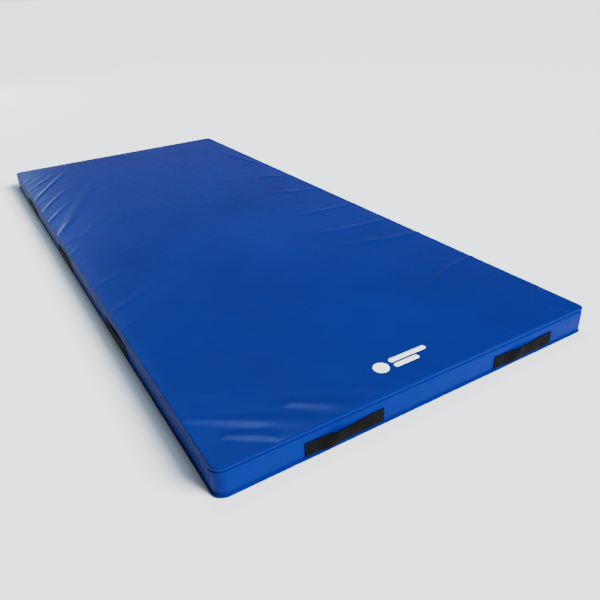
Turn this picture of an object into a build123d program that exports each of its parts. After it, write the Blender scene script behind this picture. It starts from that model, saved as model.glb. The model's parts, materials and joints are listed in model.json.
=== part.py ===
"""A one-piece gym mat: two foam layers in a sewn vinyl cover, with webbing carrying handles and a zip.

Millimetres. The mat lies flat on the floor: +Z is up, X runs across its width and Y along its length.
The origin is on the floor, under the middle of the mat.
"""
from build123d import *
import os

os.makedirs("parts", exist_ok=True)

# Mat, measured over the cover
mat_width = 910.0
mat_length = 2130.0
mat_thickness = 65.0
corner_radius = 22.0

# Cover
cover_thickness = 0.8
top_edge_radius = 4.0
base_edge_radius = 3.0
top_seam_drop = 7.8
base_seam_height = 8.0
anti_slip_thickness = 1.0
anti_slip_inset = 15.0
anti_slip_corner_radius = 12.0

# Foam filling
foam_top_layer_thickness = 12.0
foam_side_clearance = 0.4
foam_face_clearance = 0.3

# Carrying handles, sewn on the side bands
webbing_width = 30.0
webbing_thickness = 1.6
handle_length = 172.0
handle_tab_length = 26.0
handle_grip_length = 60.0
handle_stand_off = 6.0
handle_floor_gap = 7.0
end_handle_pitch = 460.0
end_handle_offset = 30.0
side_handle_pitch = 575.0
side_handle_offset = 85.0

# Patches inside the bands, behind the sewn ends of the handles
patch_margin = 5.0
patch_thickness = 0.8
patch_clearance = 0.1

# Zip along the right long side, set in the seam under the top panel
zip_corner_gap = 93.0
zip_tape_thickness = 0.7
zip_tape_end = 12.0
zip_tape_edge_gap = 0.4
zip_coil_width = 1.9
zip_coil_thickness = 1.8
zip_coil_gap = 1.2
zip_stop_length = 3.0
zip_stop_overhang = 0.3
zip_clearance = 0.3
zip_opening_clearance = 0.6

# Zip slider and puller
slider_length = 11.0
slider_wall = 1.0
slider_web_length = 3.5
slider_corner_radius = 1.2
slider_end_gap = 0.5
bail_length = 8.0
bail_width = 2.4
bail_thickness = 1.2
puller_length = 26.0
puller_thickness = 1.2
puller_arm_width = 1.2
puller_turning_clearance = 0.3
puller_side_clearance = 0.6
puller_eye_clearance = 1.6
puller_corner_radius = 1.5
foam_relief_clearance = 1.0

# Places on the four sides
half_width = mat_width / 2
half_length = mat_length / 2
straight_length = mat_length - 2 * corner_radius

# Heights that follow from the sizes above
top_seam_z = mat_thickness - top_seam_drop
base_panel_z = anti_slip_thickness
foam_bottom_z = base_panel_z + cover_thickness + foam_face_clearance
foam_top_z = mat_thickness - cover_thickness - foam_face_clearance
foam_joint_z = foam_top_z - foam_top_layer_thickness
handle_height = handle_floor_gap + webbing_width / 2

# The zip's cross-section, measured up and down from the middle of the zip
coil_inner = zip_coil_gap / 2
coil_outer = coil_inner + zip_coil_width
flange_inner = coil_outer + zip_clearance
slider_half_width = flange_inner + slider_wall
zip_half_opening = slider_half_width + zip_opening_clearance
zip_height = top_seam_z - zip_half_opening
zip_length = straight_length - 2 * zip_corner_gap
zip_window_length = zip_length + 2 * zip_stop_length
zip_tape_length = zip_window_length + 2 * zip_tape_end
zip_tape_top_z = mat_thickness - top_edge_radius - zip_tape_edge_gap
zip_tape_width = zip_tape_top_z - zip_height - coil_inner

# The slider's cross-section, measured outwards from the outer face of the tapes
slider_front_back = zip_coil_thickness + zip_clearance
slider_front_face = slider_front_back + slider_wall
slider_rear_front = -zip_tape_thickness - zip_clearance
slider_rear_face = slider_rear_front - slider_wall
bail_clear_height = puller_thickness + 2 * puller_turning_clearance
puller_axis_out = slider_front_face + bail_clear_height / 2
foam_relief_depth = -slider_rear_face + foam_relief_clearance

# What lies between the bands and the foam: the zip's tapes, then the backing patches
patch_depth = cover_thickness + zip_tape_thickness + patch_clearance
foam_side_depth = patch_depth + patch_thickness + foam_side_clearance


def write_part(solid, label):
    """Label one finished piece and write its file."""
    solid.part.label = label
    export_step(solid.part, "parts/" + label + ".step")


def side_plane(side, along, height):
    """A plane on the outer face of one side. Its X runs along the side, Y is up and Z points out."""
    origins = {
        "near": (along, -half_length, height),
        "left": (-half_width, along, height),
        "far": (along, half_length, height),
        "right": (half_width, along, height),
    }
    directions = {
        "near": ((1, 0, 0), (0, -1, 0)),
        "left": ((0, -1, 0), (-1, 0, 0)),
        "far": ((-1, 0, 0), (0, 1, 0)),
        "right": ((0, 1, 0), (1, 0, 0)),
    }
    run, outwards = directions[side]
    return Plane(origin=origins[side], x_dir=run, z_dir=outwards)


# ---------------------------------------------------------------- foam filling
def make_foam(label, low_z, high_z):
    """One foam layer, with the shallow relief along the right side that the zip's slider runs in."""
    relief_floor_x = half_width - cover_thickness - foam_relief_depth
    relief_reach = half_width - relief_floor_x
    relief_half_height = slider_half_width + foam_relief_clearance
    relief_low_z = zip_height - relief_half_height
    with BuildPart() as foam:
        with BuildSketch(Plane.XY.offset(low_z)):
            RectangleRounded(
                mat_width - 2 * foam_side_depth,
                mat_length - 2 * foam_side_depth,
                corner_radius - foam_side_depth,
            )
        extrude(amount=high_z - low_z)
        with BuildSketch(Plane.XY.offset(relief_low_z)):
            with Locations((relief_floor_x + relief_reach / 2, 0)):
                Rectangle(relief_reach, zip_window_length)
        extrude(amount=2 * relief_half_height, mode=Mode.SUBTRACT)
    write_part(foam, label)


make_foam("foam_base_slab", foam_bottom_z, foam_joint_z)
make_foam("foam_top_layer", foam_joint_z, foam_top_z)


# ---------------------------------------------------------------- cover panels
def make_panel(label, low_z, high_z, folded_face, edge_radius):
    """The top or base panel: a flat sheet folded round the edge as far as its seam."""
    with BuildPart() as panel:
        with BuildSketch(Plane.XY.offset(low_z)):
            RectangleRounded(mat_width, mat_length, corner_radius)
        extrude(amount=high_z - low_z)
        fillet(panel.faces().sort_by(Axis.Z)[folded_face].edges(), radius=edge_radius)
        open_face = panel.faces().sort_by(Axis.Z)[-1 - folded_face]
        offset(amount=-cover_thickness, openings=open_face)
    write_part(panel, label)


make_panel("top_panel", top_seam_z, mat_thickness, -1, top_edge_radius)
make_panel("base_panel", base_panel_z, base_seam_height, 0, base_edge_radius)

with BuildPart() as anti_slip_sheet:
    with BuildSketch():
        RectangleRounded(
            mat_width - 2 * anti_slip_inset,
            mat_length - 2 * anti_slip_inset,
            anti_slip_corner_radius,
        )
    extrude(amount=anti_slip_thickness)
write_part(anti_slip_sheet, "anti_slip_sheet")


# ---------------------------------------------------------------- side bands
def make_band(label, centre, size, window=None):
    """One side's stretch of the band between the two seams, kept from a ring by a rectangle in plan."""
    with BuildPart() as band:
        with BuildSketch(Plane.XY.offset(base_seam_height)):
            RectangleRounded(mat_width, mat_length, corner_radius)
            RectangleRounded(
                mat_width - 2 * cover_thickness,
                mat_length - 2 * cover_thickness,
                corner_radius - cover_thickness,
                mode=Mode.SUBTRACT,
            )
            with Locations(centre):
                Rectangle(*size, mode=Mode.INTERSECT)
        extrude(amount=top_seam_z - base_seam_height)
        if window:
            window_length, window_half_height = window
            with BuildSketch(side_plane("right", 0, zip_height)):
                Rectangle(window_length, 2 * window_half_height)
            extrude(amount=-2 * cover_thickness, mode=Mode.SUBTRACT)
    write_part(band, label)


end_band_size = (mat_width, corner_radius)
side_band_size = (corner_radius, straight_length)
end_band_centre_y = half_length - corner_radius / 2
side_band_centre_x = half_width - corner_radius / 2
make_band("side_band_near", (0, -end_band_centre_y), end_band_size)
make_band("side_band_far", (0, end_band_centre_y), end_band_size)
make_band("side_band_left", (-side_band_centre_x, 0), side_band_size)
make_band(
    "side_band_right",
    (side_band_centre_x, 0),
    side_band_size,
    window=(zip_window_length, zip_half_opening),
)


# ---------------------------------------------------------------- carrying handles
def make_handle(label, wall):
    """A strap sewn flat at both ends. The middle stands off the side, with a sloping leg each side of it."""
    tab_centre = (handle_length - handle_tab_length) / 2
    tab_inner_end = handle_length / 2 - handle_tab_length
    grip_end = handle_grip_length / 2

    with BuildPart() as sewn_ends:
        with BuildSketch(wall):
            with Locations((-tab_centre, 0), (tab_centre, 0)):
                Rectangle(handle_tab_length, webbing_width)
        extrude(amount=webbing_thickness)
    write_part(sewn_ends, label + "_sewn_ends")

    upper_edge = Plane(
        origin=wall.from_local_coords((0, webbing_width / 2, 0)),
        x_dir=wall.x_dir,
        z_dir=-wall.y_dir,
    )
    with BuildPart() as legs:
        with BuildSketch(upper_edge):
            for hand in (-1, 1):
                with BuildLine():
                    Polyline(
                        (hand * tab_inner_end, 0),
                        (hand * grip_end, handle_stand_off),
                        (hand * grip_end, handle_stand_off + webbing_thickness),
                        (hand * tab_inner_end, webbing_thickness),
                        close=True,
                    )
                make_face()
        extrude(amount=webbing_width)
    write_part(legs, label + "_legs")

    with BuildPart() as grip:
        with BuildSketch(wall.offset(handle_stand_off)):
            Rectangle(handle_grip_length, webbing_width)
        extrude(amount=webbing_thickness)
    write_part(grip, label + "_grip")


end_handle_places = [end_handle_offset + step * end_handle_pitch for step in (-0.5, 0.5)]
side_handle_places = [side_handle_offset + step * side_handle_pitch for step in (-1, 0, 1)]
handle_places = {
    "near": end_handle_places,
    "left": side_handle_places,
    "far": end_handle_places,
    "right": side_handle_places,
}
for side, places in handle_places.items():
    for number, along in enumerate(places, start=1):
        make_handle("handle_" + side + "_" + str(number), side_plane(side, along, handle_height))


def make_patches(side, places):
    """The backing patches inside one band, one behind each sewn end, joined here in one node."""
    tab_centre = (handle_length - handle_tab_length) / 2
    with BuildPart() as patches:
        for along in places:
            with BuildSketch(side_plane(side, along, handle_height).offset(-patch_depth)):
                with Locations((-tab_centre, 0), (tab_centre, 0)):
                    Rectangle(handle_tab_length + 2 * patch_margin, webbing_width)
            extrude(amount=-patch_thickness)
    write_part(patches, "backing_patches_" + side)


for side, places in handle_places.items():
    make_patches(side, places)

# ---------------------------------------------------------------- zip
# The zip's plane lies on the outer face of its tapes: X runs along the zip, Y is up and Z points outwards.
zip_plane = side_plane("right", 0, zip_height).offset(-cover_thickness)
zip_ends = (-zip_length / 2 - zip_stop_length / 2, zip_length / 2 + zip_stop_length / 2)

for name, hand in (("upper", 1), ("lower", -1)):
    with BuildPart() as tape:
        with BuildSketch(zip_plane):
            with Locations((0, hand * (coil_inner + zip_tape_width / 2))):
                Rectangle(zip_tape_length, zip_tape_width)
        extrude(amount=-zip_tape_thickness)
    write_part(tape, "zip_tape_" + name)

    with BuildPart() as coil:
        with BuildSketch(zip_plane):
            with Locations((0, hand * (coil_inner + zip_coil_width / 2))):
                Rectangle(zip_length, zip_coil_width)
        extrude(amount=zip_coil_thickness)
    write_part(coil, "zip_coil_" + name)

with BuildPart() as zip_stops:
    with BuildSketch(zip_plane):
        with Locations(*[(end, 0) for end in zip_ends]):
            Rectangle(zip_stop_length, 2 * coil_outer)
    extrude(amount=zip_coil_thickness + zip_stop_overhang)
write_part(zip_stops, "zip_stops")

# ---------------------------------------------------------------- slider, at the far end when closed
slider_along = zip_length / 2 - slider_end_gap - slider_length / 2
slider_plane = Plane(
    origin=zip_plane.from_local_coords((slider_along, 0, 0)),
    x_dir=zip_plane.x_dir,
    z_dir=zip_plane.z_dir,
)
slider_section = Plane(
    origin=slider_plane.from_local_coords((-slider_length / 2, 0, 0)),
    x_dir=slider_plane.y_dir,
    z_dir=slider_plane.x_dir,
)
bail_side = Plane(
    origin=slider_plane.from_local_coords((0, bail_width / 2, 0)),
    x_dir=slider_plane.x_dir,
    z_dir=-slider_plane.y_dir,
)
flange_depth = slider_front_face - zip_clearance
slider_web_thickness = zip_coil_gap - 2 * zip_clearance

with BuildPart() as zip_slider:
    with BuildSketch(slider_plane.offset(slider_front_back)):
        RectangleRounded(slider_length, 2 * slider_half_width, slider_corner_radius)
    extrude(amount=slider_wall)
    with BuildSketch(slider_section):
        for hand in (-1, 1):
            with Locations((hand * (flange_inner + slider_wall / 2), zip_clearance + flange_depth / 2)):
                Rectangle(slider_wall, flange_depth)
    extrude(amount=slider_length)
    with BuildSketch(slider_plane.offset(slider_rear_face)):
        RectangleRounded(slider_length, 2 * slider_half_width, slider_corner_radius)
    extrude(amount=slider_wall)
    with BuildSketch(slider_plane.offset(slider_rear_face)):
        with Locations(((slider_length - slider_web_length) / 2, 0)):
            Rectangle(slider_web_length, slider_web_thickness)
    extrude(amount=slider_front_face - slider_rear_face)
    with BuildSketch(bail_side):
        with Locations((0, slider_front_face + (bail_clear_height + bail_thickness) / 2)):
            Rectangle(bail_length, bail_clear_height + bail_thickness)
        with Locations((0, slider_front_face + bail_clear_height / 2)):
            Rectangle(bail_length - 2 * bail_thickness, bail_clear_height, mode=Mode.SUBTRACT)
    extrude(amount=bail_width)
write_part(zip_slider, "zip_slider")

# The puller turns about the bar at the end of its eye, which runs up and down under the bail
puller_plane = Plane(
    origin=slider_plane.from_local_coords((0, 0, puller_axis_out)),
    x_dir=-slider_plane.x_dir,
    z_dir=slider_plane.z_dir,
)
puller_bar_radius = puller_thickness / 2
puller_eye_half_width = bail_width / 2 + puller_side_clearance
puller_width = 2 * (puller_eye_half_width + puller_arm_width)
puller_eye_length = bail_length / 2 + puller_eye_clearance

with BuildPart() as zip_puller:
    with BuildSketch(puller_plane.offset(-puller_bar_radius)):
        with Locations((puller_length / 2, 0)):
            RectangleRounded(puller_length, puller_width, puller_corner_radius)
        with Locations((puller_eye_length / 2, 0)):
            Rectangle(puller_eye_length, 2 * puller_eye_half_width, mode=Mode.SUBTRACT)
        with Locations((-puller_bar_radius / 2, 0)):
            Rectangle(puller_bar_radius, puller_width, mode=Mode.SUBTRACT)
    extrude(amount=puller_thickness)
    with Locations(puller_plane):
        Cylinder(puller_bar_radius, puller_width, rotation=(90, 0, 0))
write_part(zip_puller, "zip_puller")
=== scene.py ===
"""Looks for the one-piece gym mat: its sewn vinyl cover, foam, webbing handles, stitching and zip. Metres."""
import json
import math

import bpy
import numpy as np
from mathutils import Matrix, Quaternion, Vector

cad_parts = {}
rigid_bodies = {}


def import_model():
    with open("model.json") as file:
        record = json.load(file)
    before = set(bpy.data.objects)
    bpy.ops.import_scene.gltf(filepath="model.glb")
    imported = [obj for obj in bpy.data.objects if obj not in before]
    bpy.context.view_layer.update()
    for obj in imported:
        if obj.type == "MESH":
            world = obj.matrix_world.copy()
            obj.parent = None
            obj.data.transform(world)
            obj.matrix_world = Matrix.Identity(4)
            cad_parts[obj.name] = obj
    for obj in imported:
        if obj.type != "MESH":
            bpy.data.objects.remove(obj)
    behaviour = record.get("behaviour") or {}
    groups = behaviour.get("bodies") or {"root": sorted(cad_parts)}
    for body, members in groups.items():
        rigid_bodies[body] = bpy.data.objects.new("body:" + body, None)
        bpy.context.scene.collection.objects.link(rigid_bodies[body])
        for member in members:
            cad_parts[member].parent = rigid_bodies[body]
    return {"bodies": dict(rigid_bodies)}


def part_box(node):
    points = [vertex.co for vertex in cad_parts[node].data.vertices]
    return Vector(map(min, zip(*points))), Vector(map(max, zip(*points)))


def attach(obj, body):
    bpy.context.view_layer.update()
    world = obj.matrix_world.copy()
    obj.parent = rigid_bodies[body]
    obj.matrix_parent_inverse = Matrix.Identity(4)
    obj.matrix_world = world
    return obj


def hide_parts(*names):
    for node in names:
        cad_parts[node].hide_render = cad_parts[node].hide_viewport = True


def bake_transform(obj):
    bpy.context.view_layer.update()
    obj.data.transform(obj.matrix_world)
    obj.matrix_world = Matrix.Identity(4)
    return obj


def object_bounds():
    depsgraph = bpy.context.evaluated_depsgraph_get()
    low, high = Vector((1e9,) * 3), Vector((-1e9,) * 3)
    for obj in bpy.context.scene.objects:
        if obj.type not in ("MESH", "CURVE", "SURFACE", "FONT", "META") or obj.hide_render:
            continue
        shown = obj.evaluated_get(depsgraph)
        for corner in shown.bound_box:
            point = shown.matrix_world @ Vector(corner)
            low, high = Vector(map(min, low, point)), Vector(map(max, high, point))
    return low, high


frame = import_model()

cad_box = [list(corner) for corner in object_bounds()]

# ------------------------------------------------------------------ sizes, from the frame and the maker's own
MM = 0.001
panel_low, panel_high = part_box("top_panel")
base_low, base_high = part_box("base_panel")
sheet_low, sheet_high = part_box("anti_slip_sheet")
HALF_X = panel_high[0]
HALF_Y = panel_high[1]
TOP_Z = panel_high[2]
TOP_SEAM_Z = panel_low[2]
BASE_SEAM_Z = base_high[2]
BASE_Z = base_low[2]
CORNER = 22 * MM
TIGHT_CORNER = 13 * MM       # the near right corner is pulled tighter over the foam
CLOTH = 0.7 * MM

SIDES = {
    "near": (Vector((1, 0, 0)), Vector((0, -1, 0))),
    "left": (Vector((0, -1, 0)), Vector((-1, 0, 0))),
    "far": (Vector((-1, 0, 0)), Vector((0, 1, 0))),
    "right": (Vector((0, 1, 0)), Vector((1, 0, 0))),
}
HANDLES = [name for name in frame["bodies"] if name.startswith("handle_")]
rng = np.random.default_rng(7)


# ------------------------------------------------------------------ making pieces
def deselect():
    if bpy.context.object and bpy.context.object.mode != "OBJECT":
        bpy.ops.object.mode_set(mode="OBJECT")
    bpy.ops.object.select_all(action="DESELECT")


def activate(piece):
    deselect()
    piece.select_set(True)
    bpy.context.view_layer.objects.active = piece


def new_piece(name, points, faces):
    """A mesh object at the origin, from points and faces worked out in code."""
    mesh = bpy.data.meshes.new(name)
    mesh.from_pydata([tuple(p) for p in points], [], [tuple(int(i) for i in f) for f in faces])
    mesh.validate()
    piece = bpy.data.objects.new(name, mesh)
    bpy.context.collection.objects.link(piece)
    mesh.shade_smooth()
    return piece


def apply_modifier(piece, kind, **settings):
    activate(piece)
    modifier = piece.modifiers.new(kind.title(), kind)
    for key, value in settings.items():
        setattr(modifier, key, value)
    bpy.ops.object.modifier_apply(modifier=modifier.name)


def apply_place(piece):
    activate(piece)
    bpy.ops.object.transform_apply(location=True, rotation=True, scale=True)


def select_where(piece, kind, rule):
    """Go into edit mode with only those vertices, edges or faces selected that the rule picks."""
    activate(piece)
    bpy.ops.object.mode_set(mode="EDIT")
    bpy.ops.mesh.select_mode(type=kind)
    bpy.ops.mesh.select_all(action="DESELECT")
    bpy.ops.object.mode_set(mode="OBJECT")
    parts = {"VERT": piece.data.vertices, "EDGE": piece.data.edges, "FACE": piece.data.polygons}
    for part in parts[kind]:
        part.select = bool(rule(part))
    bpy.ops.object.mode_set(mode="EDIT")


def upright_edges(piece):
    """A rule that picks a box's upright edges."""
    points = [vertex.co.copy() for vertex in piece.data.vertices]

    def rule(edge):
        a, b = (points[i] for i in edge.vertices)
        return abs((a - b).normalized().z) > 0.9
    return rule


def new_box(name, middle, size):
    deselect()
    bpy.ops.mesh.primitive_cube_add(size=1, location=middle)
    box = bpy.context.object
    box.name = name
    box.scale = size
    apply_place(box)
    return box


def ease_edges(piece, width, segments, sharp=50, smooth=40):
    """Round the edges sharper than one angle, and shade smooth below another. Degrees."""
    apply_modifier(piece, "BEVEL", width=width, segments=segments, limit_method="ANGLE",
                   angle_limit=math.radians(sharp))
    bpy.ops.object.shade_smooth_by_angle(angle=math.radians(smooth))


def grid_faces(rows, columns, flip=False):
    """Quads between the points of a grid given row by row."""
    faces = []
    for i in range(rows - 1):
        for j in range(columns - 1):
            a = i * columns + j
            quad = (a, a + columns, a + columns + 1, a + 1)
            faces.append(quad[::-1] if flip else quad)
    return faces


def dress(piece, material, body="mat", replaces=()):
    """Give a piece its finish, its CAD body and the CAD nodes that it stands for."""
    piece.data.materials.clear()
    piece.data.materials.append(material)
    if body:
        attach(piece, body)
    if replaces:
        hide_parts(*replaces)
    return piece


def smooth_step(t):
    t = np.clip(t, 0.0, 1.0)
    return t * t * (3 - 2 * t)


# ------------------------------------------------------------------ materials
def node_material(name):
    material = bpy.data.materials.new(name)
    material.use_nodes = True
    tree = material.node_tree
    shader = tree.nodes["Principled BSDF"]
    return material, tree, shader


def add_node(tree, kind, inputs=None, **settings):
    node = tree.nodes.new(kind)
    for key, value in settings.items():
        setattr(node, key, value)
    for key, value in (inputs or {}).items():
        if isinstance(value, bpy.types.NodeSocket):
            tree.links.new(value, node.inputs[key])
        else:
            node.inputs[key].default_value = value
    return node


def maths(tree, operation, a, b=0.0):
    return add_node(tree, "ShaderNodeMath", {0: a, 1: b}, operation=operation).outputs[0]


def mixed(tree, factor, a, b):
    node = tree.nodes.new("ShaderNodeMix")
    node.data_type = "RGBA"
    for index, value in ((0, factor), (6, a), (7, b)):
        if isinstance(value, bpy.types.NodeSocket):
            tree.links.new(value, node.inputs[index])
        else:
            node.inputs[index].default_value = value
    return node.outputs[2]


def ranged(tree, value, low, high, to_low=0.0, to_high=1.0):
    inputs = {"Value": value, "From Min": low, "From Max": high, "To Min": to_low, "To Max": to_high}
    return add_node(tree, "ShaderNodeMapRange", inputs).outputs[0]


def object_place(tree):
    return add_node(tree, "ShaderNodeTexCoord").outputs["Object"]


def noise(tree, place, scale, detail=4.0, rough=0.55):
    inputs = {"Vector": place, "Scale": scale, "Detail": detail, "Roughness": rough}
    return add_node(tree, "ShaderNodeTexNoise", inputs).outputs["Fac"]


def bump(tree, height, distance, strength=1.0, under=None):
    inputs = {"Height": height, "Distance": distance, "Strength": strength}
    if under is not None:
        inputs["Normal"] = under
    return add_node(tree, "ShaderNodeBump", inputs).outputs["Normal"]


def vinyl(name, deep, bright, rough=0.36, gloss=0.24, seam=None, edge=None):
    """PVC-coated cloth: fine pebbled grain over a faint weave, painted shade along its seam, duller below its
    edge.
    """
    material, tree, shader = node_material(name)
    place = object_place(tree)
    drift = noise(tree, place, 2.2, 3.0)
    cloud = noise(tree, place, 9.0, 5.0)
    tone = maths(tree, "ADD", maths(tree, "MULTIPLY", drift, 0.75), maths(tree, "MULTIPLY", cloud, 0.25))
    shade = ranged(tree, tone, 0.32, 0.68)
    colour = mixed(tree, shade, deep, bright)
    split = add_node(tree, "ShaderNodeSeparateXYZ", {0: place})
    height = split.outputs["Z"]
    # Painted shade: within about 2 mm of the seam the blue goes nearly black, standing in for the shadow in
    # the seam's groove.
    if seam is not None:
        away = maths(tree, "ABSOLUTE", maths(tree, "SUBTRACT", height, seam))
        seam_shade = tuple(0.12 * c for c in deep[:3]) + (1.0,)
        colour = mixed(tree, ranged(tree, away, 1.2 * MM, 2.4 * MM), seam_shade, colour)
    tree.links.new(colour, shader.inputs["Base Color"])
    scuff = noise(tree, place, 38.0, 6.0, 0.7)
    worn = ranged(tree, scuff, 0.3, 0.75, rough - 0.035, rough + 0.06)
    if edge is not None:
        worn = maths(tree, "ADD", worn, ranged(tree, height, edge - 0.3 * MM, edge + 0.4 * MM, 0.34, 0.0))
    tree.links.new(worn, shader.inputs["Roughness"])
    grain = add_node(tree, "ShaderNodeTexVoronoi", {"Vector": place, "Scale": 620.0}).outputs["Distance"]
    thread_turns = 2 * math.pi / (1.15 * MM)
    warp = maths(tree, "SINE", maths(tree, "MULTIPLY", split.outputs["X"], thread_turns))
    weft = maths(tree, "SINE", maths(tree, "MULTIPLY", split.outputs["Y"], thread_turns))
    weave = maths(tree, "MULTIPLY", warp, weft)
    pebbled = bump(tree, grain, 0.05 * MM, 0.35)
    woven = bump(tree, weave, 0.012 * MM, 0.5, pebbled)
    soft = bump(tree, noise(tree, place, 55.0, 2.0), 0.35 * MM, 0.3, woven)
    tree.links.new(soft, shader.inputs["Normal"])
    shader.inputs["IOR"].default_value = 1.5
    shader.inputs["Specular IOR Level"].default_value = gloss
    return material


def webbing_weave(name, dark, light, straight_run=False):
    """Flat woven tape: chevrons of rounded threads that follow its own length and width, with painted shade
    in the hollows and painted highlight on the thread tops.

    A strap has its length and width in its UV map. A straight run lies along Y and stands up along Z."""
    material, tree, shader = node_material(name)
    if straight_run:
        split = add_node(tree, "ShaderNodeSeparateXYZ", {0: object_place(tree)})
        length, breadth = split.outputs["Y"], split.outputs["Z"]
    else:
        along = add_node(tree, "ShaderNodeUVMap", uv_map="UVMap").outputs["UV"]
        split = add_node(tree, "ShaderNodeSeparateXYZ", {0: along})
        length, breadth = split.outputs["X"], split.outputs["Y"]
    rib = maths(tree, "MULTIPLY", length, 1 / (1.9 * MM))
    column = maths(tree, "PINGPONG", breadth, 2.5 * MM)
    slant = maths(tree, "MULTIPLY", column, 1 / (2.6 * MM))
    turns = maths(tree, "MULTIPLY", maths(tree, "ADD", rib, slant), 2 * math.pi)
    thread = ranged(tree, maths(tree, "SINE", turns), -1.0, 1.0)
    edge = maths(tree, "MULTIPLY", breadth, 2 * math.pi / (1.25 * MM))
    cord = ranged(tree, maths(tree, "SINE", edge), -1.0, 1.0)
    height = maths(tree, "ADD", maths(tree, "MULTIPLY", thread, 0.7), maths(tree, "MULTIPLY", cord, 0.3))
    fluff = noise(tree, object_place(tree), 900.0, 4.0)
    # Painted shade and highlight: the weave's low places are darker and the thread tops lighter.
    thread_shade = maths(tree, "MULTIPLY", height, ranged(tree, fluff, 0.3, 0.7, 0.6, 1.0))
    tree.links.new(mixed(tree, thread_shade, dark, light), shader.inputs["Base Color"])
    tree.links.new(ranged(tree, fluff, 0.3, 0.7, 0.62, 0.82), shader.inputs["Roughness"])
    tree.links.new(bump(tree, height, 0.22 * MM, 0.8), shader.inputs["Normal"])
    shader.inputs["Specular IOR Level"].default_value = 0.06
    return material


def spun_thread(name, colour, shine):
    material, tree, shader = node_material(name)
    place = object_place(tree)
    ply = noise(tree, place, 1400.0, 3.0)
    dull = tuple(0.6 * c for c in colour[:3]) + (1.0,)
    tree.links.new(mixed(tree, ranged(tree, ply, 0.35, 0.65), dull, colour), shader.inputs["Base Color"])
    tree.links.new(ranged(tree, ply, 0.3, 0.7, shine, shine + 0.15), shader.inputs["Roughness"])
    tree.links.new(bump(tree, ply, 0.05 * MM, 0.6), shader.inputs["Normal"])
    return material


def chip_foam(name):
    """Bonded foam: pressed crumbs of several colours with fine open cells."""
    material, tree, shader = node_material(name)
    place = object_place(tree)
    crumbs = add_node(tree, "ShaderNodeTexVoronoi", {"Vector": place, "Scale": 110.0})
    ramp = add_node(tree, "ShaderNodeValToRGB", {"Fac": crumbs.outputs["Color"]})
    ramp.color_ramp.interpolation = "CONSTANT"
    stops = ((0.0, (0.55, 0.52, 0.44, 1)), (0.3, (0.22, 0.24, 0.27, 1)), (0.5, (0.62, 0.5, 0.3, 1)),
             (0.68, (0.32, 0.42, 0.5, 1)), (0.84, (0.6, 0.6, 0.57, 1)))
    while len(ramp.color_ramp.elements) < len(stops):
        ramp.color_ramp.elements.new(1.0)
    for element, (position, colour) in zip(ramp.color_ramp.elements, stops):
        element.position = position
        element.color = colour
    tree.links.new(ramp.outputs["Color"], shader.inputs["Base Color"])
    cells = add_node(tree, "ShaderNodeTexVoronoi", {"Vector": place, "Scale": 1100.0}).outputs["Distance"]
    crumb_edge = bump(tree, crumbs.outputs["Distance"], 0.8 * MM, 0.5)
    tree.links.new(bump(tree, cells, 0.3 * MM, 0.7, crumb_edge), shader.inputs["Normal"])
    shader.inputs["Roughness"].default_value = 0.95
    return material


def cell_foam(name, colour):
    material, tree, shader = node_material(name)
    place = object_place(tree)
    cells = add_node(tree, "ShaderNodeTexVoronoi", {"Vector": place, "Scale": 900.0}).outputs["Distance"]
    shade = tuple(0.8 * c for c in colour[:3]) + (1.0,)
    tree.links.new(mixed(tree, ranged(tree, cells, 0.0, 0.6), shade, colour), shader.inputs["Base Color"])
    tree.links.new(bump(tree, cells, 0.2 * MM, 0.6), shader.inputs["Normal"])
    shader.inputs["Roughness"].default_value = 0.8
    return material


def anti_slip_rubber(name):
    """Matt coating with rows of small raised dots."""
    material, tree, shader = node_material(name)
    place = object_place(tree)
    pitch = 5 * MM
    cell = {0: place, 1: (pitch, pitch, 1.0)}
    centred = add_node(tree, "ShaderNodeVectorMath", cell, operation="SNAP").outputs[0]
    offset = add_node(tree, "ShaderNodeVectorMath", {0: place, 1: centred}, operation="SUBTRACT").outputs[0]
    split = add_node(tree, "ShaderNodeSeparateXYZ", {0: offset})
    dx = maths(tree, "SUBTRACT", split.outputs["X"], pitch / 2)
    dy = maths(tree, "SUBTRACT", split.outputs["Y"], pitch / 2)
    squares = maths(tree, "ADD", maths(tree, "MULTIPLY", dx, dx), maths(tree, "MULTIPLY", dy, dy))
    reach = maths(tree, "SQRT", squares)
    dot = ranged(tree, reach, 1.5 * MM, 1.0 * MM)
    dust = noise(tree, place, 60.0, 6.0)
    tone = maths(tree, "ADD", maths(tree, "MULTIPLY", dot, 0.5), maths(tree, "MULTIPLY", dust, 0.5))
    dark = (0.012, 0.012, 0.014, 1)
    light = (0.05, 0.05, 0.055, 1)
    tree.links.new(mixed(tree, tone, dark, light), shader.inputs["Base Color"])
    tree.links.new(bump(tree, dot, 0.5 * MM, 0.8), shader.inputs["Normal"])
    shader.inputs["Roughness"].default_value = 0.8
    return material


def plated_metal(name):
    material, tree, shader = node_material(name)
    place = object_place(tree)
    wear = noise(tree, place, 700.0, 5.0)
    dark = (0.3, 0.3, 0.31, 1)
    light = (0.5, 0.5, 0.52, 1)
    tree.links.new(mixed(tree, ranged(tree, wear, 0.35, 0.65), dark, light), shader.inputs["Base Color"])
    tree.links.new(ranged(tree, wear, 0.3, 0.7, 0.22, 0.42), shader.inputs["Roughness"])
    tree.links.new(bump(tree, wear, 0.03 * MM, 0.4), shader.inputs["Normal"])
    shader.inputs["Metallic"].default_value = 1.0
    return material


def moulded_nylon(name):
    material, tree, shader = node_material(name)
    wear = noise(tree, object_place(tree), 800.0, 3.0)
    dark = (0.006, 0.012, 0.05, 1)
    light = (0.02, 0.035, 0.12, 1)
    tree.links.new(mixed(tree, ranged(tree, wear, 0.35, 0.65), dark, light), shader.inputs["Base Color"])
    tree.links.new(ranged(tree, wear, 0.3, 0.7, 0.3, 0.45), shader.inputs["Roughness"])
    return material


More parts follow.
